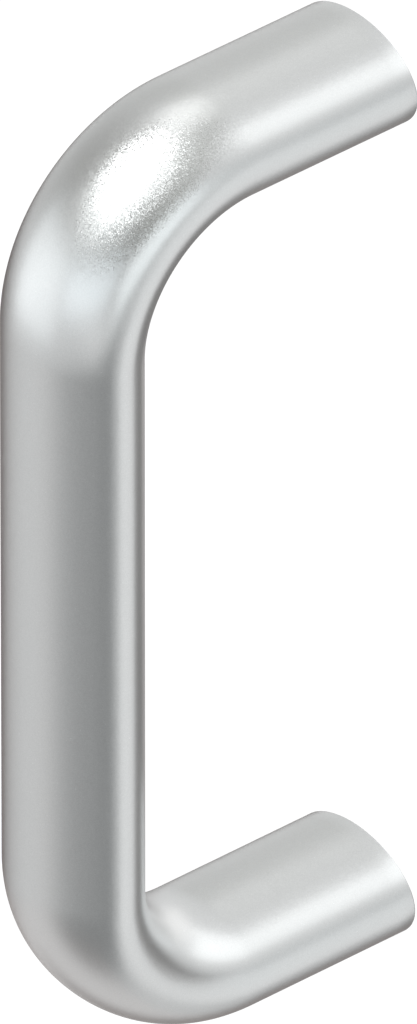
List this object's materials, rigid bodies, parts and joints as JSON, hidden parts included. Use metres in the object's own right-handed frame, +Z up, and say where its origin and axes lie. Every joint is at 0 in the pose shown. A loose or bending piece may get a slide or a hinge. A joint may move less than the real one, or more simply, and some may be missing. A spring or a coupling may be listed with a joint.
{
  "type": "bow handle",
  "caption": "U-shaped pull of oval bar with round bends, screwed to a door or drawer front from behind through a tapped hole in each end.",
  "frame": {"origin": "midway between the two screw holes, on the mounting plane that both end faces lie in", "axes": "+Z up along the grip, +Y out of the end faces into the door or drawer front, +X across the bar"},
  "size_m": [0.0202, 0.0486, 0.1248],
  "materials": {
    "anodised_aluminium": "fine bead-blasted satin, clear anodised"
  },
  "bodies": {
    "root": {"bow_handle": "anodised_aluminium"}
  },
  "joints": []
}
